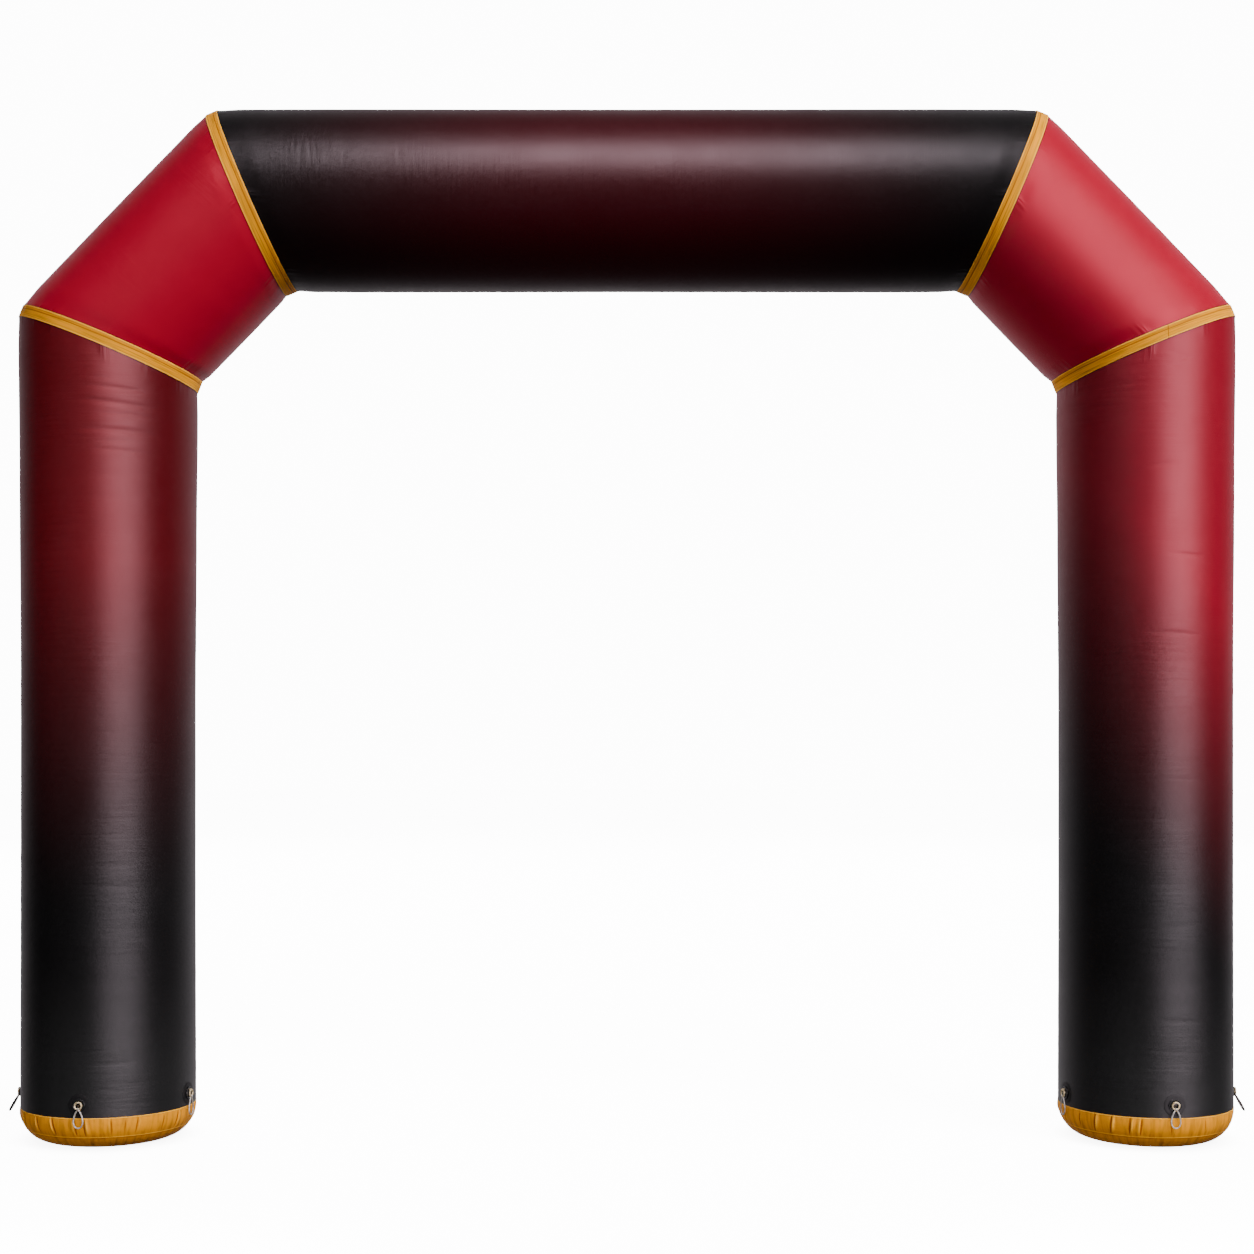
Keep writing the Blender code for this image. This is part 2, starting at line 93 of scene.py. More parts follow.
class Nodes:
    """A node tree whose nodes are made in one call each."""

    def __init__(self, tree):
        self.tree = tree

    def put(self, socket, value):
        if isinstance(value, Value):
            self.tree.links.new(value.socket, socket)
        elif socket.type == "RGBA" and len(value) == 3:
            socket.default_value = (*value, 1.0)
        else:
            socket.default_value = value

    def node(self, kind, settings=None, inputs=None, output=0):
        made = self.tree.nodes.new(kind)
        for name, setting in (settings or {}).items():
            setattr(made, name, setting)
        for name, value in (inputs or {}).items():
            self.put(made.inputs[name], value)
        return Value(self, made.outputs[output]) if made.outputs else None

    def reckon(self, operation, *values):
        return self.node("ShaderNodeMath", {"operation": operation}, dict(enumerate(values)))

    def ease(self, value, low, high, to_low=0.0, to_high=1.0):
        """Runs smoothly from to_low to to_high while the value runs from low to high."""
        inputs = {"Value": value, "From Min": low, "From Max": high, "To Min": to_low, "To Max": to_high}
        return self.node("ShaderNodeMapRange", {"interpolation_type": "SMOOTHSTEP"}, inputs)

    def ramp(self, value, low, high):
        inputs = {"Value": value, "From Min": low, "From Max": high}
        return self.node("ShaderNodeMapRange", None, inputs)

    def mix(self, factor, first, second):
        return self.node("ShaderNodeMix", {"data_type": "RGBA"}, {0: factor, 6: first, 7: second}, 2)

    def part(self, vector, axis):
        return self.node("ShaderNodeSeparateXYZ", None, {0: vector}, axis)

    def place(self):
        """The point in the arch's own metres, as a vector."""
        return self.node("ShaderNodeTexCoord", output=3)

    def mapped(self, name):
        return self.node("ShaderNodeUVMap", {"uv_map": name})

    def mottle(self, scale, detail=2.0, vector=None):
        inputs = {"Vector": vector or self.place(), "Scale": scale, "Detail": detail}
        return self.node("ShaderNodeTexNoise", None, inputs)

    def stretched(self, vector, factors):
        return self.node("ShaderNodeVectorMath", {"operation": "MULTIPLY"}, {0: vector, 1: factors})

    def bump(self, height, distance, strength=1.0, under=None):
        inputs = {"Height": height, "Distance": distance, "Strength": strength}
        if under:
            inputs["Normal"] = under
        return self.node("ShaderNodeBump", None, inputs)


def softbox(name, azimuth, elevation, distance, width, height, power, target=ARCH_MIDDLE, mirrored=False):
    """A lamp that faces the target and lights it or, if mirrored, is only seen in the cloth's shine.
    Azimuth turns from the front towards the right."""
    lamp = bpy.data.lights.new(name, "AREA")
    lamp.shape = "RECTANGLE"
    lamp.size = width
    lamp.size_y = height
    lamp.energy = power
    lamp.color = ROSE_WHITE if mirrored else WHITE
    turn, lift = math.radians(azimuth), math.radians(elevation)
    away = Vector((math.sin(turn) * math.cos(lift), -math.cos(turn) * math.cos(lift), math.sin(lift)))
    holder = bpy.data.objects.new(name, lamp)
    holder.location = Vector(target) + away * distance
    holder.rotation_euler = away.to_track_quat("Z", "Y").to_euler()
    bpy.context.scene.collection.objects.link(holder)
    holder.visible_camera = False
    holder.visible_glossy = mirrored
    holder.visible_diffuse = not mirrored
    return holder


softbox("key", 44, 37, 24.0, 12.0, 12.0, 13800)
softbox("fill", -35, -4, 24.0, 20.0, 10.0, 2300)
leg_strip = softbox("leg_strip", 31, 6, 240.0, 190.0, 122.0, 480000, mirrored=True)
for azimuth in (150, 214):
    softbox("back_fill", azimuth, 24, 24.0, 14.0, 12.0, 5200)
softbox("beam_strip", 3, 44.5, 9.0, 5.0, 3.2, 850, (0.0, 0.0, BEAM_HEIGHT), mirrored=True)
for foot_x, azimuth, power in ((-2.15, 10, 12), (2.15, -6, 18)):
    softbox("foot_light", azimuth, 6, 2.2, 1.8, 0.4, power, (foot_x, 0.0, FOOT_HEIGHT))

# The cove lights the arch from behind, is mirrored faintly in its edges, and looks white to the camera.
# What it gives is eased over the direction looked in, whose Y is 1 at the back and Z is 1 above.
COVE_LIGHT = 0.74
COVE_DARK = 0.004
COVE_SHEEN = 0.56
COVE_SHEEN_BELOW = 0.10
COVE_COLOUR = (1.0, 0.92, 0.97)
COVE_SEEN = 16.6

world = bpy.data.worlds.new("cove")
bpy.context.scene.world = world
world.use_nodes = True
world.node_tree.nodes.clear()
cove = Nodes(world.node_tree)
toward = cove.node("ShaderNodeTexCoord", output=0)
behind = cove.ease(cove.part(toward, 1), -0.05, 0.75, COVE_DARK, COVE_LIGHT)
lit = cove.node("ShaderNodeBackground", None, {"Color": COVE_COLOUR, "Strength": behind})
above = cove.ease(cove.part(toward, 2), -0.75, -0.25, COVE_SHEEN_BELOW, 1.0)
sheen = cove.ease(cove.part(toward, 1), 0.10, 0.95, COVE_DARK, COVE_SHEEN) * above
mirrored = cove.node("ShaderNodeBackground", None, {"Color": COVE_COLOUR, "Strength": sheen})
seen = cove.node("ShaderNodeBackground", None, {"Strength": COVE_SEEN})
camera_sees = cove.node("ShaderNodeLightPath")
cloth_mirrors = cove.node("ShaderNodeLightPath", output=3)
unseen = cove.node("ShaderNodeMixShader", None, {0: cloth_mirrors, 1: lit, 2: mirrored})
shown = cove.node("ShaderNodeMixShader", None, {0: camera_sees, 1: unseen, 2: seen})
cove.node("ShaderNodeOutputWorld", None, {0: shown})

# ----------------------------------------------------------------------
# The floor: a wide pale sheet that glows softly, so that it meets the cove without a line. It darkens a
# little right under the feet.
# ----------------------------------------------------------------------
FLOOR_RADIUS = 60.0
FLOOR_DROP = 0.0005
FLOOR_GLOW = 12.6
FLOOR_SHADE = 7.5
SHADE_REACH = 0.10


class Finish(Nodes):
    """A material, whose Principled shader takes constants by name and patterns through feed."""

    def __init__(self, name, **constants):
        self.material = bpy.data.materials.new(name)
        self.material.use_nodes = True
        super().__init__(self.material.node_tree)
        self.shader = self.tree.nodes["Principled BSDF"]
        self.feed(**constants)

    def feed(self, **sockets):
        for name, value in sockets.items():
            self.put(self.shader.inputs[name.replace("_", " ")], value)


bm = bmesh.new()
bmesh.ops.create_circle(bm, cap_ends=True, segments=96, radius=FLOOR_RADIUS)
bmesh.ops.translate(bm, vec=(0.0, 0.0, -FLOOR_DROP), verts=bm.verts)
floor_mesh = bpy.data.meshes.new("floor")
bm.to_mesh(floor_mesh)
bm.free()
floor_paint = Finish("floor", Roughness=0.9, Base_Color=(0.8, 0.8, 0.8), Emission_Color=(1.0, 1.0, 1.0))
floor_paint.shader.inputs["Emission Strength"].default_value = FLOOR_GLOW
# The floor's glow is darkened near the feet by occlusion, a painted shadow.
nearness = floor_paint.node("ShaderNodeAmbientOcclusion", {"samples": 8}, {"Distance": SHADE_REACH}, 1)
shade = floor_paint.ease(nearness, 0.0, 0.9, FLOOR_SHADE / FLOOR_GLOW, 1.0)
floor_paint.feed(Emission_Color=floor_paint.mix(shade, (0.0, 0.0, 0.0), (1.0, 1.0, 1.0)))
floor_mesh.materials.append(floor_paint.material)
floor = bpy.data.objects.new("floor", floor_mesh)
bpy.context.scene.collection.objects.link(floor)
floor.visible_diffuse = False
floor.visible_glossy = False
floor.visible_shadow = False

# ----------------------------------------------------------------------
# The legs: two straight sleeves of coated polyester, printed red at the top and fading into black, cut
# square at the foot and mitred at the knee, and drawn tight by the air. Slack cloth leaves short folds.
# ----------------------------------------------------------------------
LEG_AXIS_X = 2.1457
KNEE_Z = 3.255
BEAM_AXIS_Z = 3.866
BEAM_END_X = 1.555
FOOT_SEAM_Z = 0.137
TAPE_WIDTH = 0.050
GAP = 0.0003
SIDES = (("left", -1), ("right", 1))
FRONT = Vector((0.0, -1.0, 0.0))
UP = Vector((0.0, 0.0, 1.0))
SLEEVE_COLUMNS = 264
RING_SPACING = 0.015
RINGS_OVER_FOLDS = 0.42
CLOSEST_RINGS = 0.0025
SAME_SPOT = 1e-6
CLOTH_MAP = "cloth"
SEAM_MAP = "seam"
CLOTH_RADIUS = 0.355

# A leg's usual radius, and the shares of a sleeve's length with its radius there
LEG_RADIUS = 0.3525
LEG_GIRTHS = (
    (0.0, 0.3520),
    (0.30, 0.3503),
    (0.55, 0.3503),
    (0.80, 0.3548),
    (0.965, 0.3592),
    (1.0, 0.3572),
)

# Folds across a leg: height, angle round it from the arch's outer side with the front at 90, half span
# in degrees, depth, half width, and how far the fold leans over half its span
LEG_FOLDS = {
    "left": (
        (3.074, 111, 24, 0.0016, 0.013, 0.004),
        (3.033, 113, 32, 0.0028, 0.014, -0.012),
        (2.973, 112, 34, 0.0032, 0.016, -0.016),
        (2.930, 115, 26, 0.0018, 0.013, -0.004),
        (2.864, 114, 34, 0.0030, 0.018, -0.010),
        (2.824, 111, 22, 0.0011, 0.012, 0.004),
        (2.785, 114, 28, 0.0017, 0.014, -0.008),
        (2.690, 110, 28, 0.0008, 0.018, 0.006),
        (2.600, 108, 26, 0.0008, 0.024, 0.010),
        (1.262, 110, 28, 0.0005, 0.010, 0.004),
        (1.140, 104, 30, 0.0006, 0.012, 0.006),
        (1.055, 105, 28, 0.0006, 0.011, -0.006),
        (0.350, 106, 30, 0.0006, 0.011, 0.008),
    ),
    "right": (
        (3.164, 84, 9, 0.0016, 0.011, 0.018),
        (3.148, 80, 8, 0.0014, 0.010, -0.016),
        (3.118, 84, 12, 0.0013, 0.010, 0.008),
        (2.729, 92, 16, 0.0012, 0.013, -0.010),
        (2.371, 75, 20, 0.0022, 0.011, 0.010),
        (2.059, 83, 24, 0.0016, 0.013, 0.008),
        (1.480, 80, 26, 0.0005, 0.012, 0.008),
        (0.900, 80, 26, 0.0005, 0.012, -0.008),
        (0.520, 82, 26, 0.0006, 0.012, 0.006),
    ),
}
FOLD_FALLOFF = 1.6

# Slow waves in the skin: their height, how close they stand round the tube (by radians) and along it (by
# metres), and the length over which they and the folds are pulled flat towards a seam
RIPPLE = 0.00045
RIPPLES_ROUND = 1.6
RIPPLES_ALONG = 17.0
TAUT_REACH = 0.06


def ease(share):
    share = min(1.0, max(0.0, share))
    return share * share * (3.0 - 2.0 * share)


def girth_at(girths, share):
    for (low, low_radius), (high, high_radius) in zip(girths, girths[1:]):
        if share <= high:
            return low_radius + (high_radius - low_radius) * ease((share - low) / (high - low))
    return girths[-1][1]


class Sleeve:
    """One straight length of tube, with the planes of the seams at its ends."""

    def __init__(self, start, end, outward, girths, before=None, after=None):
        self.start = Vector(start)
        self.axis = (Vector(end) - self.start).normalized()
        self.length = (Vector(end) - self.start).length
        self.outward = Vector(outward)
        self.girths = girths
        self.start_seam = (self.axis + before).normalized() if before else None
        self.end_seam = (self.axis + after).normalized() if after else None

    def radial(self, angle):
        return self.outward * math.cos(angle) + FRONT * math.sin(angle)

    def reach(self, angle):
        """Distances along the axis between which the skin is straight, clear of the seams' tapes."""
        radial = self.radial(angle)
        near = GAP / 2
        far = self.length - GAP / 2
        if self.start_seam:
            lean = self.girths[0][1] * radial.dot(self.start_seam)
            near = (TAPE_WIDTH / 2 - lean) / self.axis.dot(self.start_seam)
        if self.end_seam:
            lean = self.girths[-1][1] * radial.dot(self.end_seam)
            far = self.length - (TAPE_WIDTH / 2 + lean) / self.axis.dot(self.end_seam)
        return near, far

    def end_point(self, angle, stand_off):
        """A point on the skin's far edge, beside the tape."""
        far = self.reach(angle)[1]
        return self.start + self.axis * far + self.radial(angle) * (self.girths[-1][1] + stand_off)


def heading(start, end):
    return (Vector(end) - Vector(start)).normalized()


def turn_outwards(bm):
    bmesh.ops.recalc_face_normals(bm, faces=bm.faces)
    middle = sum((vertex.co for vertex in bm.verts), Vector()) / len(bm.verts)
    outward = 0.0
    for face in bm.faces:
        outward += face.calc_area() * face.normal.dot(face.calc_center_median() - middle)
    if outward < 0.0:
        bmesh.ops.reverse_faces(bm, faces=bm.faces)


def wrapped_cloth(columns, rows, place, maps, capped=True):
    """A grid of cloth put by place(column, row) and sewn where it meets, with flat maps by name."""
    bm = bmesh.new()
    bmesh.ops.create_grid(bm, x_segments=columns, y_segments=rows, size=0.5)
    spots = {}
    for vertex in bm.verts:
        spots[vertex] = (round((vertex.co.x + 0.5) * columns), round((vertex.co.y + 0.5) * rows))
    for name, flat in maps.items():
        layer = bm.loops.layers.uv.new(name)
        mapped = {vertex: flat(*spot) for vertex, spot in spots.items()}
        for face in bm.faces:
            for loop in face.loops:
                loop[layer].uv = mapped[loop.vert]
    for vertex, (column, row) in spots.items():
        vertex.co = place(column % columns, row)
    bmesh.ops.remove_doubles(bm, verts=bm.verts, dist=SAME_SPOT)
    if capped:
        bmesh.ops.holes_fill(bm, edges=[edge for edge in bm.edges if edge.is_boundary], sides=0)
    turn_outwards(bm)
    return bm


def make_piece(name, bm, material, replaced=(), smooth_angle=40):
    """Files a finished mesh as a piece of the arch that stands for solids of the frame."""
    mesh = bpy.data.meshes.new(name)
    bm.to_mesh(mesh)
    bm.free()
    mesh.materials.append(material)
    mesh.shade_smooth()
    mesh.set_sharp_from_angle(angle=math.radians(smooth_angle))
    obj = bpy.data.objects.new(name, mesh)
    bpy.context.scene.collection.objects.link(obj)
    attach(obj, "root")
    if replaced:
        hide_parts(*replaced)
    return obj


def fold_depth(folds, place, angle):
    """How far the folds draw the cloth in, at a place along the sleeve and an angle in degrees."""
    depth = 0.0
    for middle, turn, half_span, deepest, half_width, lean in folds:
        around = (angle - turn) / half_span
        if abs(around) < 1.0:
            across = (place - middle - lean * around) / half_width
            if abs(across) < 3.0:
                fade = math.cos(around * math.pi / 2) ** 2
                depth += deepest * fade * math.exp(-FOLD_FALLOFF * across * across)
    return depth


def ring_distances(near, far, folds, base):
    """Places for a sleeve's rings: evenly spaced, and closer together over its folds."""
    plain = round((far - near) / RING_SPACING)
    places = {near + (far - near) * step / plain for step in range(plain + 1)}
    for middle, _turn, _span, _depth, half_width, lean in folds:
        reach = 2.0 * half_width + abs(lean)
        steps = round(2.0 * reach / (half_width * RINGS_OVER_FOLDS))
        for step in range(steps + 1):
            place = middle - base - reach + 2.0 * reach * step / steps
            clear = min(abs(place - other) for other in places) > CLOSEST_RINGS
            if clear and near + RING_SPACING / 3 < place < far - RING_SPACING / 3:
                places.add(place)
    return sorted(places)


def build_sleeve(name, sleeve, folds, material):
    """A sleeve's cloth. Its folds are placed from the ground on a leg and from the middle on the beam."""
    near, far = sleeve.reach(math.pi / 2)
    base = sleeve.start.dot(sleeve.axis)
    shares = [(place - near) / (far - near) for place in ring_distances(near, far, folds, base)]
    rows = [(share, None) for share in shares]
    lip = TAPE_WIDTH / 2 - GAP / 2
    if sleeve.start_seam:
        rows.insert(0, (0.0, -lip * sleeve.start_seam))
    if sleeve.end_seam:
        rows.append((1.0, lip * sleeve.end_seam))
    turns = [math.tau * column / SLEEVE_COLUMNS for column in range(SLEEVE_COLUMNS + 1)]
    radials = [sleeve.radial(turn) for turn in turns]
    reaches = [sleeve.reach(turn) for turn in turns]

    def along(column, row):
        low, high = reaches[column]
        return low + (high - low) * rows[row][0]

    def put(column, row):
        share, under_tape = rows[row]
        distance = along(column, row)
        radius = girth_at(sleeve.girths, share)
        spot = sleeve.start + sleeve.axis * distance
        if under_tape:
            return spot + radials[column] * radius + under_tape
        taut = ease(min(share, 1.0 - share) * sleeve.length / TAUT_REACH)
        radius -= fold_depth(folds, base + distance, math.degrees(turns[column])) * taut
        waves = radials[column] * RIPPLES_ROUND + sleeve.axis * (distance * RIPPLES_ALONG)
        radius += RIPPLE * noise.noise(waves) * taut
        return spot + radials[column] * radius

    def flat(column, row):
        return (turns[column] * CLOTH_RADIUS, along(column, row))

    def from_seam(column, row):
        share = rows[row][0]
        low, high = reaches[column]
        nearer = min(share if sleeve.start_seam else 1.0, 1.0 - share)
        return (turns[column] * CLOTH_RADIUS, (high - low) * nearer)

    bm = wrapped_cloth(SLEEVE_COLUMNS, len(rows) - 1, put, {CLOTH_MAP: flat, SEAM_MAP: from_seam})
    cloth = make_piece(name + "_cloth", bm, material, [name])
    return cloth


THREAD_PITCH = 0.0011
SEAM_SHADE = 0.22
SEAM_SHADE_REACH = 0.007
CRIMSON = (0.345, 0.0034, 0.021)
MAROON = (0.122, 0.0008, 0.0052)
COAL = (0.0039, 0.0035, 0.0038)
GREYER_COAL = (0.0115, 0.0113, 0.0117)

# The share of light the print's pigment throws back like a pearl, in its own colour
PEARL = 0.20


def toned(colour, factor):
    """The same colour, darker or lighter."""
    return [channel * factor for channel in colour]


def woven(finish, flat):
    """The bumps of a plain weave, whose threads run along and round the flat map."""
    turns = finish.stretched(flat, (math.tau / THREAD_PITCH,) * 3)
    warp = finish.reckon("SINE", finish.part(turns, 0))
    weft = finish.reckon("SINE", finish.part(turns, 1))
    return finish.bump(warp * weft, 0.00010, 0.35)


def coated_cloth(name, colour_of, roughness=0.38, shine=0.5):
    """Woven polyester under a satin coat, slightly mottled and drawn into small creases."""
    finish = Finish(name, Roughness=roughness, Metallic=PEARL, Specular_IOR_Level=shine)
    flat = finish.mapped(CLOTH_MAP)
    weave = woven(finish, flat)
    pulled = finish.mottle(1.0, 3.0, finish.stretched(flat, (5.0, 50.0, 1.0)))
    slack = finish.ease(finish.mottle(1.0, 1.0, finish.stretched(flat, (2.0, 3.0, 1.0))), 0.30, 0.60)
    drawn = finish.bump(pulled * slack, 0.0015, 0.60, weave)

    # Short puckers stand at the seams, and the cloth is in shadow where it dives under a tape or an edge
    seam = finish.mapped(SEAM_MAP)
    from_seam = finish.part(seam, 1)
    gathered = finish.ease(finish.mottle(1.0, 2.0, finish.stretched(seam, (9.0, 2.0, 1.0))), 0.48, 0.66)
    puckers = finish.mottle(1.0, 2.0, finish.stretched(seam, (85.0, 9.0, 1.0))) * gathered
    puckered = finish.bump(puckers * finish.ease(from_seam, 0.075, 0.0), 0.0060, 0.80, drawn)
    grain = finish.bump(finish.mottle(95.0, 3.0), 0.0004, 0.30, puckered)
    wear = finish.mottle(7.0)
    lit = finish.ease(from_seam, 0.0, SEAM_SHADE_REACH, SEAM_SHADE, 1.0)
    finish.feed(
        Base_Color=finish.mix(lit, (0.0, 0.0, 0.0), colour_of(finish)),
        Normal=grain,
        Roughness=finish.ramp(wear, 0.0, 1.0) * 0.12 + (roughness - 0.06),
    )
    return finish.material


def coal_greyer_downwards(finish, z):
    """The black end of a leg's print, greyer towards the ground."""
    return finish.mix(finish.ease(z, 0.80, 0.17), COAL, GREYER_COAL)


def left_leg_print_and_shade(finish):
    x = finish.part(finish.place(), 0)
    z = finish.part(finish.place(), 2)
    inward = (x + LEG_AXIS_X) / LEG_RADIUS
    fade = finish.ramp(z, 0.91, 2.36) ** 2.0
    # The maroon is darkened towards the leg's inner side, a painted shade.
    red = finish.mix(finish.ease(inward, 0.25, 0.85), MAROON, toned(MAROON, 0.55))
    return finish.mix(fade, coal_greyer_downwards(finish, z), red)


def right_leg_print_and_shade(finish):
    x = finish.part(finish.place(), 0)
    z = finish.part(finish.place(), 2)
    outward = (x - LEG_AXIS_X) / LEG_RADIUS
    # The fade reaches lower on the outer side, partly print and partly painted light, and the crimson is
    # lighter towards the outer side, a painted light.
    fade = finish.ramp(z + outward * 0.35, 0.90, 2.40) ** 2.0
    red = finish.mix(finish.ease(outward, -0.8, 0.3), toned(CRIMSON, 0.45), toned(CRIMSON, 0.65))
    return finish.mix(fade, coal_greyer_downwards(finish, z), red)


LEG_PRINTS_AND_SHADE = {"left": left_leg_print_and_shade, "right": right_leg_print_and_shade}

sleeves = {}
for word, side in SIDES:
    foot = (side * LEG_AXIS_X, 0.0, FOOT_SEAM_Z)
    knee = (side * LEG_AXIS_X, 0.0, KNEE_Z)
    slope = heading(knee, (side * BEAM_END_X, 0.0, BEAM_AXIS_Z))
    leg = Sleeve(foot, knee, (side, 0, 0), LEG_GIRTHS, after=slope)
    sleeves[word + "_leg"] = leg
    # Each leg's print carries painted shade and painted light across its red.
    print_and_shade_paint = coated_cloth(word + "_leg_print", LEG_PRINTS_AND_SHADE[word])
    build_sleeve(word + "_leg", leg, LEG_FOLDS[word], print_and_shade_paint)

# ----------------------------------------------------------------------
# The shoulders: two short slanted sleeves of the same cloth in plain crimson, mitred at both ends.
# ----------------------------------------------------------------------
SHOULDER_GIRTHS = ((0.0, 0.3572), (0.10, 0.3632), (0.5, 0.3645), (0.92, 0.3640), (1.0, 0.3600))


def shoulder_print(finish):
    return finish.mix(finish.mottle(2.2), toned(CRIMSON, 0.94), toned(CRIMSON, 1.04))


shoulder_cloths = {}
for word, side in SIDES:
    knee = (side * LEG_AXIS_X, 0.0, KNEE_Z)
    beam_end = (side * BEAM_END_X, 0.0, BEAM_AXIS_Z)
    slope = heading(knee, beam_end)
    outward = (side * slope.z, 0.0, -side * slope.x)
    shoulder = Sleeve(knee, beam_end, outward, SHOULDER_GIRTHS, UP, Vector((-side, 0, 0)))
    sleeves[word + "_shoulder"] = shoulder
    paint = coated_cloth(word + "_shoulder_print", shoulder_print, 0.34, 0.30)
    shoulder_cloths[word] = build_sleeve(word + "_shoulder", shoulder, (), paint)

# ----------------------------------------------------------------------
# The crossbeam: one long sleeve of black cloth, with a maroon glow printed across its middle, mitred at
# both ends. A few folds run round it near its left end.
# ----------------------------------------------------------------------
BEAM_GIRTHS = (
    (0.0, 0.3600),
    (0.03, 0.3643),
    (0.12, 0.3652),
    (0.50, 0.3642),
    (0.88, 0.3652),
    (0.97, 0.3643),
    (1.0, 0.3600),
)
BEAM_FOLDS = (
    (-1.322, 70, 10, 0.0004, 0.006, 0.004),
    (-1.292, 73, 14, 0.0006, 0.007, -0.006),
    (-1.258, 72, 12, 0.0007, 0.006, 0.008),
    (-1.232, 75, 12, 0.0004, 0.006, 0.003),
    (-1.190, 73, 14, 0.0005, 0.008, -0.006),
    (-1.120, 75, 14, 0.0005, 0.008, -0.006),
    (-0.905, 74, 12, 0.0006, 0.010, 0.004),
)
BEAM_GLOW = (0.030, 0.0012, 0.0032)
GLOW_MIDDLE_X = -0.08


def beam_print(finish):
    x = finish.part(finish.place(), 0)
    away = abs(x - GLOW_MIDDLE_X)
    return finish.mix(finish.ease(away, 1.62, 0.12), COAL, BEAM_GLOW)


rising = sleeves["left_shoulder"].axis
falling = Vector((rising.x, 0.0, -rising.z))
left_end, right_end = (-BEAM_END_X, 0.0, BEAM_AXIS_Z), (BEAM_END_X, 0.0, BEAM_AXIS_Z)
beam = Sleeve(left_end, right_end, UP, BEAM_GIRTHS, rising, falling)
sleeves["beam"] = beam
beam_paint = coated_cloth("beam_print", beam_print, 0.40)
beam_cloth = build_sleeve("beam", beam, BEAM_FOLDS, beam_paint)

# Neither the beam, which has a strip of its own, nor the left shoulder mirrors the leg strip
unlit = bpy.data.collections.new("out_of_the_leg_strip")
for cloth in (beam_cloth, shoulder_cloths["left"]):
    unlit.objects.link(cloth)
leg_strip.light_linking.receiver_collection = unlit
for member in unlit.collection_objects:
    member.light_linking.link_state = "EXCLUDE"

# ----------------------------------------------------------------------
# The seam tapes: 50 mm yellow webbing laid over each mitre seam and sewn down with a thread along either
# edge. A third row of stitches beside its middle is only a groove with a soiled line.
# ----------------------------------------------------------------------
TAPE_THICKNESS = 0.0019
TAPE_CLEARANCE = 0.00045
TAPE_STEPS = 260
TAPE_CROWN = 0.00035
TAPE_WAVER = 0.00025
RIB_PITCH = 0.0022
PICK_PITCH = 0.0016
STITCH_ROWS = {"lower": 0.0045, "upper": 0.0455}
STITCH_PITCH = 0.0062
THREAD_RADIUS = 0.00042
THREAD_SIDES = 5

# Where a stitch's thread is, as shares of the pitch and heights over the webbing
STITCH_COURSE = ((0.0, -0.0007), (0.14, 0.0001), (0.32, 0.0004), (0.62, 0.0004), (0.80, 0.0001))
SEAM_ROW = 0.0335
ROW_GROOVE = 0.00045
ROW_HALF_WIDTH = 0.0013
AMBER = (0.63, 0.240, 0.0003)
DULL_AMBER = (0.36, 0.10, 0.0)
PALE_AMBER = (0.86, 0.38, 0.030)
STITCH_SOIL = (0.24, 0.065, 0.0)
JOIN_SOIL = (0.16, 0.035, 0.0)

# Each tape's sleeve, the sleeve beyond its seam, and the angle round it where the tape's ends are lapped
TAPES = {
    "left_knee_tape": ("left_leg", "left_shoulder", 262.0),
    "right_knee_tape": ("right_leg", "right_shoulder", 88.0),
    "left_beam_tape": ("left_shoulder", "beam", 270.0),
    "right_beam_tape": ("right_shoulder", "beam", 251.0),
}


def tape_frame(sleeve, angle):
    """The tape's lower edge at an angle round the seam, with the direction out of the tape."""
    step = 0.01
    edge = sleeve.end_point(angle, TAPE_CLEARANCE)
    before = sleeve.end_point(angle - step, TAPE_CLEARANCE)
    after = sleeve.end_point(angle + step, TAPE_CLEARANCE)
    outward = (after - before).cross(sleeve.end_seam).normalized()
    if outward.dot(sleeve.radial(angle)) < 0.0:
        outward = -outward
    return edge, outward


def tape_height(across):
    """The top face's height over a webbing's width: a slight crown, pulled down along the stitches."""
    share = across / TAPE_WIDTH
    height = TAPE_THICKNESS + TAPE_CROWN * (math.sin(math.pi * share) - 1.0)
    for row in (*STITCH_ROWS.values(), SEAM_ROW):
        height -= ROW_GROOVE * math.exp(-(((across - row) / ROW_HALF_WIDTH) ** 2))
    return height


def tape_outline():
    """The closed section of the webbing as (across, height) pairs."""
    top = [0.0015 + (TAPE_WIDTH - 0.003) * step / 34 for step in range(35)]
    outline = [(0.0, 0.0), (0.0, TAPE_THICKNESS * 0.45), (0.0004, TAPE_THICKNESS * 0.72)]
    outline += [(across, tape_height(across)) for across in top]
    outline += [(TAPE_WIDTH - across, height) for across, height in reversed(outline[:3])]
    return outline


def thread_row(sleeve, count, row):
    """A thread sewn round the tape: it lies over the webbing for each stitch and dips in between two."""
    course = []
    for stitch in range(count):
        for share, height in STITCH_COURSE:
            edge, outward = tape_frame(sleeve, math.tau * (stitch + share) / count)
            spot = edge + sleeve.end_seam * row + outward * (tape_height(row) + height)
            course.append((spot, outward))

    def put(column, side):
        spot, outward = course[column]
        turn = math.tau * side / THREAD_SIDES
        return spot + (outward * math.cos(turn) + sleeve.end_seam * math.sin(turn)) * THREAD_RADIUS

    def flat(column, side):
        return (column / len(course), side / THREAD_SIDES)

    return wrapped_cloth(len(course), THREAD_SIDES, put, {CLOTH_MAP: flat}, capped=False)


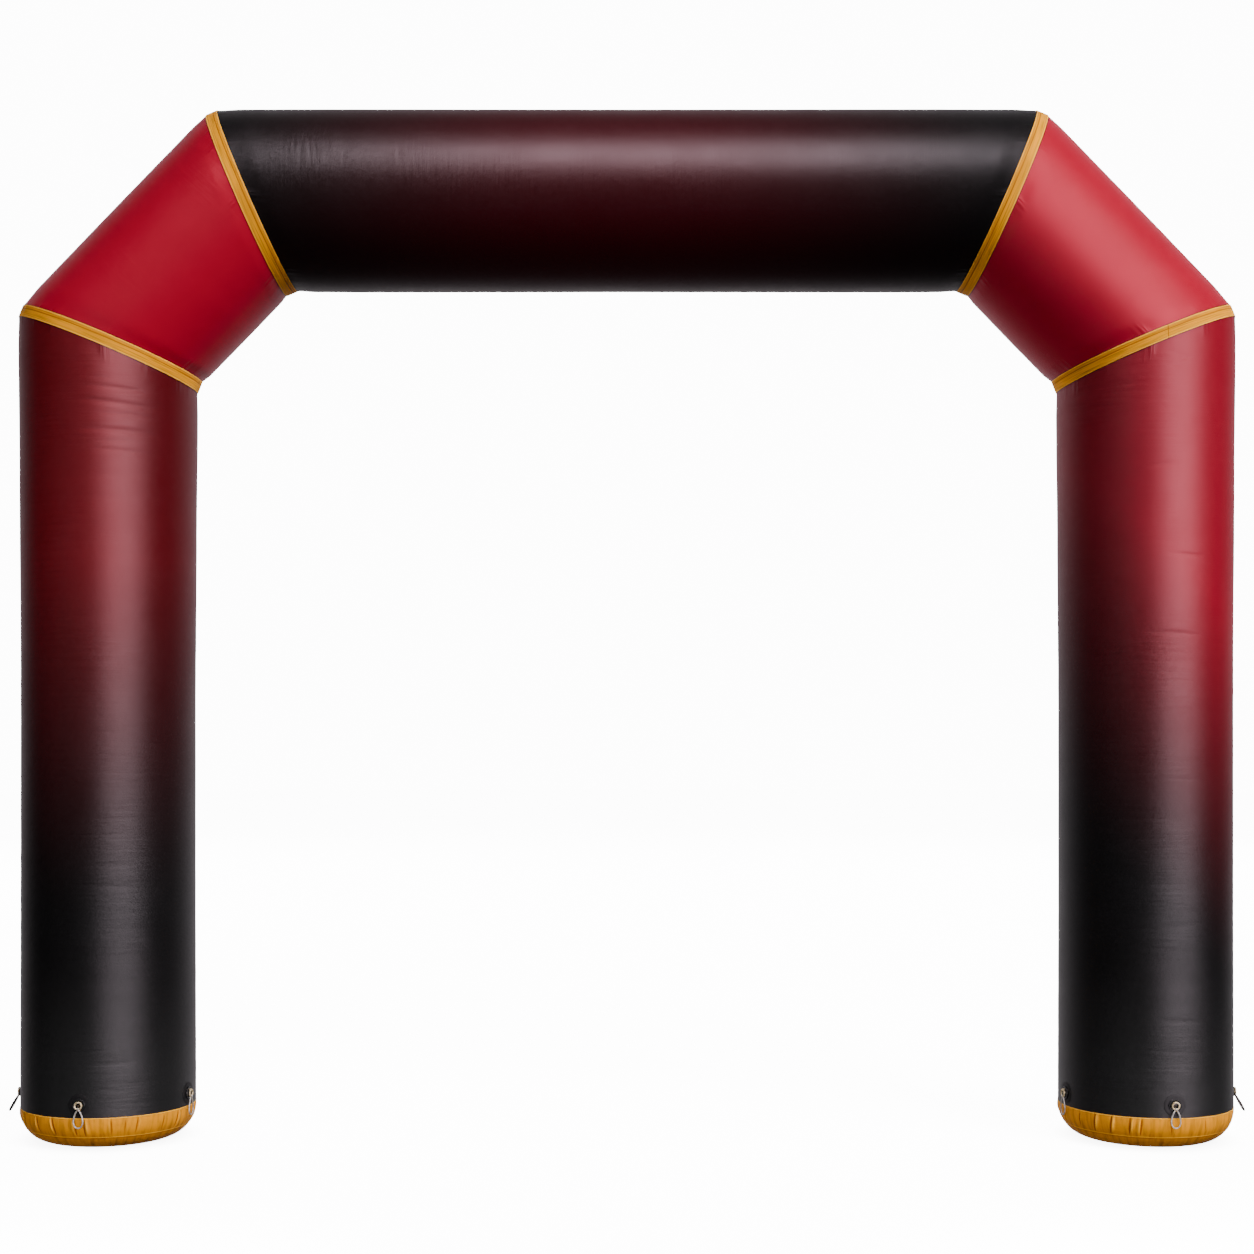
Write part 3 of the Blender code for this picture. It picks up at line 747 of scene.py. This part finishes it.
def build_tape(name, material, thread):
    sleeve_name, other_name, join_angle = TAPES[name]
    sleeve = sleeves[sleeve_name]
    outline = tape_outline()
    frames = [tape_frame(sleeve, math.tau * step / TAPE_STEPS) for step in range(TAPE_STEPS)]
    lengths = [0.0]
    for (edge, _out), (other, _other_out) in zip(frames, frames[1:] + frames[:1]):
        lengths.append(lengths[-1] + (other - edge).length)

    def put(column, row):
        edge, outward = frames[column]
        across, height = outline[row % len(outline)]
        if height > 0.0:
            height += TAPE_WAVER * noise.noise(edge * 9.0 + Vector((across * 30.0, 0.0, 0.0)))
        return edge + sleeve.end_seam * across + outward * height

    join = lengths[round(join_angle / 360.0 * TAPE_STEPS)]

    def flat(column, row):
        return (lengths[column] - join, outline[row % len(outline)][0])

    bm = wrapped_cloth(TAPE_STEPS, len(outline), put, {CLOTH_MAP: flat}, capped=False)
    tape = make_piece(name + "_webbing", bm, material, [name])

    around = lengths[-1]
    count = round(around / STITCH_PITCH)
    for row_name, row in STITCH_ROWS.items():
        bm = thread_row(sleeve, count, row)
        sewn = make_piece(f"{name}_{row_name}_stitches", bm, thread, smooth_angle=80)


def webbing():
    """Polyester webbing: ribs along it, fine cross threads, paler edges and soiled stitch lines."""
    finish = Finish("yellow_webbing", Roughness=0.5, Specular_IOR_Level=0.04)
    flat = finish.mapped(CLOTH_MAP)
    along, across = finish.part(flat, 0), finish.part(flat, 1)
    rib = finish.reckon("SINE", across * (math.tau / RIB_PITCH))
    pick = finish.reckon("SINE", (along + across * 0.5) * (math.tau / PICK_PITCH))
    weave = finish.bump(rib * 0.6 + pick * rib * 0.4, 0.00012, 0.6)
    streaks = finish.mottle(1.0, 3.0, finish.stretched(flat, (7.0, 300.0, 1.0)))
    gold = finish.mix(finish.ease(streaks, 0.32, 0.62), toned(AMBER, 0.66), toned(AMBER, 1.14))
    above_row = finish.ease(across, SEAM_ROW - 0.002, SEAM_ROW + 0.002)
    dulled = finish.mix(above_row * 0.30, gold, DULL_AMBER)
    rim = finish.mix(finish.ease(abs(across - TAPE_WIDTH / 2), 0.0195, 0.0230), dulled, PALE_AMBER)
    seam_line = finish.ease(abs(across - SEAM_ROW), 0.0030, 0.0010)
    lined = finish.mix(seam_line * 0.85, rim, STITCH_SOIL)
    join_line = finish.ease(abs(along + across * 0.35 - 0.012), 0.0022, 0.0008)
    joined = finish.mix(join_line * 0.85, lined, JOIN_SOIL)
    finish.feed(Base_Color=joined, Normal=weave, Roughness=streaks * 0.15 + 0.42)
    return finish.material


def sewing_thread(name, colour):
    finish = Finish(name, Roughness=0.55)
    finish.feed(Base_Color=finish.mix(finish.mottle(600.0), toned(colour, 0.7), colour))
    return finish.material


tape_webbing = webbing()
gold_thread = sewing_thread("gold_thread", (0.80, 0.40, 0.03))
for name in TAPES:
    build_tape(name, tape_webbing, gold_thread)

# ----------------------------------------------------------------------
# The feet: a yellow cloth wall gathered into pleats between a rolled top edge and a corded lower seam, and
# a round sole panel of the same cloth that curls in to the ground.
# ----------------------------------------------------------------------
SOLE_SEAM_Z = 0.054
FOOT_RADIUS = 0.352
SOLE_FLAT_RADIUS = 0.225
FOOT_CURVE = 2.15
WALL_COLUMNS = 1080
WALL_ROWS = 26
SOLE_COLUMNS = 288
SOLE_ROWS = 22
ROW_CROWDING = 0.10
WALL_SWELL = 0.0015
WALL_GATHER = 0.0011
SOLE_PUCKER = 0.0009
ROLL_HEIGHT = 0.0045
ROLL_PROUD = 0.0016
CORD_PROUD = 0.0015
MARIGOLD = (0.58, 0.210, 0.0004)
SHADED_MARIGOLD = (0.29, 0.084, 0.0002)
PAINTED_HIGHLIGHT_YELLOW = (0.86, 0.40, 0.030)
TROUGH_SHADE = (0.20, 0.045, 0.0)
SHADE_UNDER_CORD = (0.26, 0.060, 0.0)
PLEAT_MAP = "pleat"

# The sole's flat map carries on below the wall's, from this height over this length
SOLE_MAP_TOP = 0.09
SOLE_MAP_LENGTH = 0.11

# Pleats down a wall: angle round the leg and lean to the lower end in degrees, height, and the steep side
FOOT_PLEATS = {
    "left": (
        (17, 1.0, 0.004, 1),
        (35, -1.2, 0.005, 1),
        (51, 1.5, 0.006, 1),
        (65, 2.0, 0.007, 1),
        (81, 1.5, 0.006, 1),
        (90, 1.0, 0.006, -1),
        (105, 0.5, 0.004, 1),
        (117, -1.0, 0.003, -1),
        (125, -1.5, 0.004, -1),
        (142, -2.0, 0.003, 1),
        (157, -2.0, 0.005, -1),
        (183, 1.0, 0.004, 1),
        (207, -1.0, 0.005, -1),
        (228, 1.5, 0.004, 1),
        (252, -1.5, 0.006, 1),
        (279, 1.0, 0.005, -1),
        (303, -1.0, 0.004, 1),
        (331, 1.5, 0.005, 1),
    ),
    "right": (
        (12, -1.0, 0.004, 1),
        (39, -1.5, 0.003, -1),
        (63, -2.5, 0.003, 1),
        (88, -2.5, 0.004, 1),
        (108, 1.5, 0.006, -1),
        (113, 1.0, 0.006, 1),
        (125, 2.0, 0.008, 1),
        (137, 2.0, 0.008, 1),
        (150, 1.5, 0.004, 1),
        (172, -1.0, 0.004, -1),
        (196, 1.5, 0.005, 1),
        (219, -1.0, 0.004, 1),
        (238, 1.0, 0.006, -1),
        (256, -1.5, 0.004, 1),
        (283, 1.0, 0.005, 1),
        (308, -1.5, 0.005, -1),
        (336, 1.0, 0.004, 1),
    ),
}


def foot_radius(height):
    drop = min(1.0, (FOOT_SEAM_Z - height) / FOOT_SEAM_Z)
    curl = (1.0 - drop**FOOT_CURVE) ** (1.0 / FOOT_CURVE)
    return SOLE_FLAT_RADIUS + (FOOT_RADIUS - SOLE_FLAT_RADIUS) * curl


def pleat_section(offset, steep):
    """A pleat's height across it in degrees: a soft side, a steep side and the trough under that."""
    offset *= steep
    width = 1.25 if offset < 0.0 else 0.55
    trough = 0.45 * math.exp(-(((offset - 1.25) / 0.6) ** 2))
    return math.exp(-((offset / width) ** 2)) - trough


def wall_swell(word, angle, drop):
    swell = WALL_SWELL * math.sin(math.pi * drop)
    for turn, lean, height, steep in FOOT_PLEATS[word]:
        offset = (angle - turn - lean * drop + 180.0) % 360.0 - 180.0
        if abs(offset) < 6.0:
            swell += 0.8 * height * math.sin(math.pi * drop**0.8) * pleat_section(offset, steep)
    return swell


def round_leg(side, angle, radius, height):
    centre = Vector((side * LEG_AXIS_X, 0.0, height))
    return centre + (Vector((side, 0, 0)) * math.cos(angle) + FRONT * math.sin(angle)) * radius


def build_foot(word, side, wall_paint, sole_paint):
    top, bottom = FOOT_SEAM_Z - GAP / 2, SOLE_SEAM_Z + GAP / 2

    def wall_height(row):
        share = row / WALL_ROWS
        return top - (top - bottom) * (share - ROW_CROWDING * math.sin(math.tau * share) / math.pi)

    def put(column, row):
        turn = math.tau * column / WALL_COLUMNS
        height = wall_height(row)
        drop = (top - height) / (top - bottom)
        swell = wall_swell(word, math.degrees(turn), drop)
        from_top, from_bottom = top - height, height - bottom
        if from_top < ROLL_HEIGHT:
            swell += ROLL_PROUD * math.sin(math.pi * min(1.0, (from_top + 0.0006) / ROLL_HEIGHT))
        if from_bottom < ROLL_HEIGHT:
            swell += CORD_PROUD * math.sin(math.pi * min(1.0, (from_bottom + 0.0010) / ROLL_HEIGHT))
        gather = noise.noise(Vector((math.cos(turn) * 6.0, math.sin(turn) * 6.0, height * 16.0)))
        swell += WALL_GATHER * gather * math.sin(math.pi * drop)
        return round_leg(side, turn, foot_radius(height) + swell, height)

    def flat(column, row):
        return (math.tau * column / WALL_COLUMNS * FOOT_RADIUS, top - wall_height(row))

    def pleated(column, row):
        drop = (top - wall_height(row)) / (top - bottom)
        swell = wall_swell(word, 360.0 * column / WALL_COLUMNS, drop)
        pleat = swell - WALL_SWELL * math.sin(math.pi * drop)
        return (max(0.0, pleat), max(0.0, -pleat))

    name = word + "_foot_wall"
    bm = wrapped_cloth(WALL_COLUMNS, WALL_ROWS, put, {CLOTH_MAP: flat, PLEAT_MAP: pleated})
    wall = make_piece(name + "_cloth", bm, wall_paint, [name])

    def put_sole(column, row):
        turn = math.tau * column / SOLE_COLUMNS
        share = 1.0 - row / SOLE_ROWS
        height = (SOLE_SEAM_Z - GAP / 2) * share**1.8
        waver = noise.noise(Vector((math.cos(turn) * 9.0, math.sin(turn) * 9.0, height * 12.0)))
        pucker = SOLE_PUCKER * waver * math.sin(math.pi * share)
        return round_leg(side, turn, foot_radius(height) + pucker, height)

    def sole_flat(column, row):
        down = SOLE_MAP_TOP + SOLE_MAP_LENGTH * row / SOLE_ROWS
        return (math.tau * column / SOLE_COLUMNS * FOOT_RADIUS, down)

    name = word + "_sole"
    bm = wrapped_cloth(SOLE_COLUMNS, SOLE_ROWS, put_sole, {CLOTH_MAP: sole_flat})
    sole = make_piece(name + "_cloth", bm, sole_paint, [name])


def foot_cloth(name, low, high, pleated):
    """The yellow coated cloth, browner towards the ground as painted shade, with fine creases carrying
    painted shade and highlights, and a plain weave.
    """
    finish = Finish(name, Roughness=0.5, Specular_IOR_Level=0.06)
    flat = finish.mapped(CLOTH_MAP)
    weave = woven(finish, flat)
    creased = finish.mottle(1.0, 4.0, finish.stretched(flat, (48.0, 9.0, 1.0)))
    z = finish.part(finish.place(), 2)
    # Darker towards the ground, a painted shade.
    base = finish.mix(finish.ease(z, low, high), SHADED_MARIGOLD, MARIGOLD)
    # Dark in the creases and light on their ridges, following the crease bump: painted shade and painted
    # highlight.
    crease_shade_and_highlight = finish.mix(finish.ease(creased, 0.32, 0.58), toned(MARIGOLD, 0.45), toned(MARIGOLD, 1.20))
    colour = finish.mix(0.45, base, crease_shade_and_highlight)
    down = finish.part(flat, 1)
    if pleated:
        # Painted highlights along the crests, the rolled edge and the corded seam, and painted shade in
        # the troughs
        pleat = finish.mapped(PLEAT_MAP)
        crest, trough = finish.part(pleat, 0), finish.part(pleat, 1)
        colour = finish.mix(finish.ease(trough, 0.0001, 0.0012) * 0.85, colour, TROUGH_SHADE)
        colour = finish.mix(finish.ease(crest, 0.0012, 0.0045) * 0.55, colour, PAINTED_HIGHLIGHT_YELLOW)
        colour = finish.mix(finish.ease(down, 0.0050, 0.0020) * 0.80, colour, PAINTED_HIGHLIGHT_YELLOW)
        colour = finish.mix(finish.ease(down, 0.0780, 0.0800) * 0.70, colour, PAINTED_HIGHLIGHT_YELLOW)
    else:
        # The sole is darkened just below the corded seam, a painted shade.
        colour = finish.mix(finish.ease(down, 0.0990, 0.0915) * 0.55, colour, SHADE_UNDER_CORD)
    finish.feed(
        Base_Color=colour,
        Normal=finish.bump(creased, 0.0030, 0.6, weave),
        Roughness=finish.mottle(30.0) * 0.12 + 0.42,
    )
    return finish.material


wall_paint = foot_cloth("foot_wall_yellow", 0.03, 0.10, pleated=True)
sole_paint = foot_cloth("sole_yellow", 0.0, 0.09, pleated=False)
for word, side in SIDES:
    build_foot(word, side, wall_paint, sole_paint)

# ----------------------------------------------------------------------
# The tie-downs, four round each foot: a round cloth patch welded to the leg, a moulded black plate
# riveted to it, a brass ring held off the plate by a lug, and a pear-shaped steel link hung in the ring.
# ----------------------------------------------------------------------
ANCHOR_Z = 0.188
ANCHOR_ANGLES = {"outer": 5.0, "front": 86.0, "inner": 168.0, "back": 265.0}
PATCH_RADIUS = 0.044
PATCH_THICKNESS = 0.002
WELDED_RING_RADIUS = 0.0375
WELDED_RING_HALF_WIDTH = 0.0012
WELDED_RING_HEIGHT = 0.0003
PLATE_THICKNESS = 0.0035
RING_RADIUS = 0.0139
RING_WIRE_RADIUS = 0.0036
RING_STEPS = 56
LUG_RADIUS = 0.0026
LUG_FLARE = 1.15
COLLAR_RADIUS = 0.0064
COLLAR_BORE_RADIUS = 0.0046
COLLAR_WIDTH = 0.0064
COLLAR_EDGE = 0.0007
LINK_WIRE_RADIUS = 0.0030
LINK_TOP_DROP = 0.0175
LINK_FOOT_DROP = 0.0880
LINK_HALF_WIDTH = 0.0180
LINK_TAPER = 0.30

# The outer links hang lifted off the leg, with their loops turned a little to the front. Their wire is a
# quarter thicker, so that it reads against the white.
OUTER_LINK_LIFT = math.radians(30.5)
OUTER_LINK_TWIST = math.radians(14)
OUTER_WIRE = 1.25

# Distances out of the leg's skin
PLATE_BACK = GAP + PATCH_THICKNESS + GAP
PLATE_FACE = PLATE_BACK + PLATE_THICKNESS
RING_STAND_OFF = PLATE_FACE + COLLAR_RADIUS + GAP

# Turned sections as (radius, height) pairs, from the back's rim to the middle of the face
PLATE_SECTION = (
    (0.0, 0.0),
    (0.0258, 0.0),
    (0.0265, 0.0006),
    (0.0265, 0.0018),
    (0.0258, 0.0030),
    (0.0245, 0.0035),
    (0.0228, 0.0033),
    (0.0214, 0.0024),
    (0.0200, 0.0022),
    (0.0120, 0.0022),
    (0.0104, 0.0024),
    (0.0092, 0.0033),
    (0.0082, 0.0035),
    (0.0, 0.0035),
)
RIVET_SECTION = (
    (0.0, 0.0),
    (0.0046, 0.0),
    (0.0050, 0.0004),
    (0.0046, 0.0011),
    (0.0034, 0.0018),
    (0.0018, 0.0021),
    (0.0, 0.0022),
)


def turned(section, steps, matrix):
    """A section spun round Z and then placed, with its middle closed."""
    bm = bmesh.new()
    points = [bm.verts.new((radius, 0.0, height)) for radius, height in section]
    edges = [bm.edges.new(pair) for pair in zip(points, points[1:])]
    bmesh.ops.spin(bm, geom=points + edges, axis=(0, 0, 1), angle=math.tau, steps=steps, use_merge=True)
    bmesh.ops.remove_doubles(bm, verts=bm.verts, dist=SAME_SPOT)
    turn_outwards(bm)
    bmesh.ops.transform(bm, matrix=matrix, verts=bm.verts)
    return bm


def wire_loop(bm, path, radius, sides=14):
    """A closed round wire along the points of a path that lies in its own XZ plane."""
    count = len(path)
    for vertex in bmesh.ops.create_grid(bm, x_segments=count, y_segments=sides, size=0.5)["verts"]:
        step = round((vertex.co.x + 0.5) * count) % count
        round_wire = math.tau * round((vertex.co.y + 0.5) * sides) / sides
        onward = (path[(step + 1) % count] - path[step - 1]).normalized()
        sideways = onward.cross(Vector((0.0, 1.0, 0.0)))
        spoke = sideways * math.cos(round_wire) + Vector((0.0, 1.0, 0.0)) * math.sin(round_wire)
        vertex.co = path[step] + spoke * radius
    bmesh.ops.remove_doubles(bm, verts=bm.verts, dist=SAME_SPOT)


def anchor_frame(side, angle):
    """Matrix from a fitting's own frame to the arch's: X along the leg's skin, Y out of it, Z up."""
    degrees = math.radians(angle)
    away = Vector((side, 0, 0)) * math.cos(degrees) + FRONT * math.sin(degrees)
    along = away.cross(UP)
    rows = Matrix((along, away, UP)).transposed().to_4x4()
    skin = girth_at(LEG_GIRTHS, (ANCHOR_Z - FOOT_SEAM_Z) / (KNEE_Z - FOOT_SEAM_Z))
    return Matrix.Translation(round_leg(side, degrees, skin, ANCHOR_Z)) @ rows, skin


def build_patch(name, matrix, skin, material):
    """A disc of cloth bent to the leg, raised in a welded ring near its rim."""
    section = [(0.0, 0.0), (PATCH_RADIUS - 0.0005, 0.0), (PATCH_RADIUS, 0.0007)]
    section.append((PATCH_RADIUS - 0.0007, 0.0015))
    for step in range(1, 15):
        radius = (PATCH_RADIUS - 0.001) * (1.0 - step / 14)
        from_ring = (radius - WELDED_RING_RADIUS) / WELDED_RING_HALF_WIDTH
        section.append((radius, 0.0017 + WELDED_RING_HEIGHT * math.exp(-(from_ring**2))))
    bm = turned(section, 72, Matrix.Identity(4))
    for vertex in bm.verts:
        bend = vertex.co.x / skin
        out = skin + GAP + vertex.co.z
        vertex.co = matrix @ Vector((out * math.sin(bend), out * math.cos(bend) - skin, vertex.co.y))
    turn_outwards(bm)
    return make_piece(name + "_cloth", bm, material, [name])


def link_path(steps):
    """The pear outline below the ring: an oval drawn in towards its top."""
    middle = (LINK_TOP_DROP + LINK_FOOT_DROP) / 2
    half_height = (LINK_FOOT_DROP - LINK_TOP_DROP) / 2
    points = []
    for step in range(steps):
        turn = math.tau * step / steps
        sideways = LINK_HALF_WIDTH * math.sin(turn) * (1.0 - LINK_TAPER * math.cos(turn))
        points.append(Vector((sideways, 0.0, RING_RADIUS - middle + half_height * math.cos(turn))))
    return points


def add_collar(link):
    """Adds the short collar at a link's top that the ring's wire runs through."""
    end, short_end = COLLAR_WIDTH / 2, COLLAR_WIDTH / 2 - COLLAR_EDGE
    section = (
        (COLLAR_BORE_RADIUS, -short_end),
        (COLLAR_BORE_RADIUS + COLLAR_EDGE, -end),
        (COLLAR_RADIUS - COLLAR_EDGE, -end),
        (COLLAR_RADIUS, -short_end),
        (COLLAR_RADIUS, short_end),
        (COLLAR_RADIUS - COLLAR_EDGE, end),
        (COLLAR_BORE_RADIUS + COLLAR_EDGE, end),
        (COLLAR_BORE_RADIUS, short_end),
    )
    points = [link.verts.new((radius, 0.0, height)) for radius, height in section]
    edges = [link.edges.new(pair) for pair in zip(points, points[1:] + points[:1])]
    bmesh.ops.spin(link, geom=points + edges, axis=(0, 0, 1), angle=math.tau, steps=36, use_merge=True)
    bmesh.ops.recalc_face_normals(link, faces=link.faces)
    collar = set(points)
    grow = list(points)
    while grow:
        for edge in grow.pop().link_edges:
            for vertex in edge.verts:
                if vertex not in collar:
                    collar.add(vertex)
                    grow.append(vertex)
    bmesh.ops.rotate(link, matrix=Matrix.Rotation(math.pi / 2, 3, "Y"), verts=list(collar))


def build_anchor(word, side, place):
    name = f"{word}_{place}"
    matrix, skin = anchor_frame(side, ANCHOR_ANGLES[place])
    facing = Matrix.Rotation(-math.pi / 2, 4, "X")
    patch = build_patch(name + "_patch", matrix, skin, patch_cloth)
    word + "_leg_cloth"
    plate = turned(PLATE_SECTION, 72, matrix @ Matrix.Translation((0.0, PLATE_BACK, 0.0)) @ facing)
    make_piece(name + "_plate_moulding", plate, plate_plastic, [name + "_plate"], 50)
    rivet = turned(RIVET_SECTION, 32, matrix @ Matrix.Translation((0.0, PLATE_FACE + GAP, 0.0)) @ facing)
    make_piece(name + "_rivet_head", rivet, dark_brass, [name + "_rivet"])

    ring = bmesh.new()
    turns = [math.tau * step / RING_STEPS for step in range(RING_STEPS)]
    circle = [Vector((math.sin(turn), 0.0, math.cos(turn))) * RING_RADIUS for turn in turns]
    wire_loop(ring, circle, RING_WIRE_RADIUS)
    bmesh.ops.recalc_face_normals(ring, faces=ring.faces)
    bmesh.ops.translate(ring, vec=(0.0, RING_STAND_OFF, 0.0), verts=ring.verts)
    lug_length = RING_STAND_OFF - PLATE_FACE - GAP
    lug_place = Matrix.Translation((0.0, PLATE_FACE + GAP + lug_length / 2, RING_RADIUS)) @ facing
    bmesh.ops.create_cone(
        ring,
        cap_ends=True,
        segments=18,
        radius1=LUG_RADIUS * LUG_FLARE,
        radius2=LUG_RADIUS,
        depth=lug_length,
        matrix=lug_place,
    )
    bmesh.ops.transform(ring, matrix=matrix, verts=ring.verts)
    make_piece(name + "_eye_ring", ring, brass, [name + "_ring"])

    outer = place == "outer"
    link = bmesh.new()
    wire_loop(link, link_path(88), LINK_WIRE_RADIUS * (OUTER_WIRE if outer else 1.0))
    if outer:
        twist = Matrix.Rotation(-side * OUTER_LINK_TWIST, 3, "Z")
        bmesh.ops.rotate(link, matrix=twist, verts=link.verts)
    add_collar(link)
    lift = OUTER_LINK_LIFT if outer else 0.0
    hung = Matrix.Translation((0.0, RING_STAND_OFF, -RING_RADIUS)) @ Matrix.Rotation(lift, 4, "X")
    bmesh.ops.transform(link, matrix=matrix @ hung, verts=link.verts)
    # The outer links take a darker copy of the plated steel, a painted shade.
    finish = shaded_steel if outer else steel
    make_piece(name + "_pear_link", link, finish, [name + "_link"])


def metal(name, colour, dull, metallic, roughness):
    """Plated wire: bright where it is rubbed, duller and darker in patches."""
    finish = Finish(name, Metallic=metallic, Roughness=roughness)
    patches = finish.mottle(140.0, 4.0)
    finish.feed(
        Base_Color=finish.mix(finish.ease(patches, 0.35, 0.65), dull, colour),
        Roughness=patches * 0.25 + (roughness - 0.1),
        Normal=finish.bump(finish.mottle(900.0, 2.0), 0.00005, 0.4),
    )
    return finish.material


def moulded_black(name, colour, roughness, grain_scale):
    finish = Finish(name, Roughness=roughness)
    grain = finish.mottle(grain_scale, 3.0)
    finish.feed(
        Base_Color=finish.mix(grain, toned(colour, 0.7), toned(colour, 1.4)),
        Roughness=grain * 0.2 + (roughness - 0.1),
        Normal=finish.bump(grain, 0.00008, 0.5),
    )
    return finish.material


patch_cloth = moulded_black("black_patch_cloth", (0.0028, 0.0028, 0.0031), 0.50, 420.0)
plate_plastic = moulded_black("black_plate_plastic", (0.008, 0.008, 0.009), 0.20, 700.0)
brass = metal("pale_brass", (0.92, 0.78, 0.52), (0.62, 0.46, 0.24), 0.70, 0.34)
dark_brass = metal("blackened_brass", (0.10, 0.065, 0.035), (0.03, 0.022, 0.016), 0.70, 0.45)
steel = metal("plated_steel", (0.74, 0.71, 0.66), (0.42, 0.40, 0.37), 0.7, 0.34)
# A darker copy of the plated steel for the outer links, a painted shade.
shaded_steel = metal("shaded_steel_copy", (0.11, 0.10, 0.095), (0.045, 0.042, 0.04), 0.7, 0.42)

for word, side in SIDES:
    for place in ANCHOR_ANGLES:
        build_anchor(word, side, place)
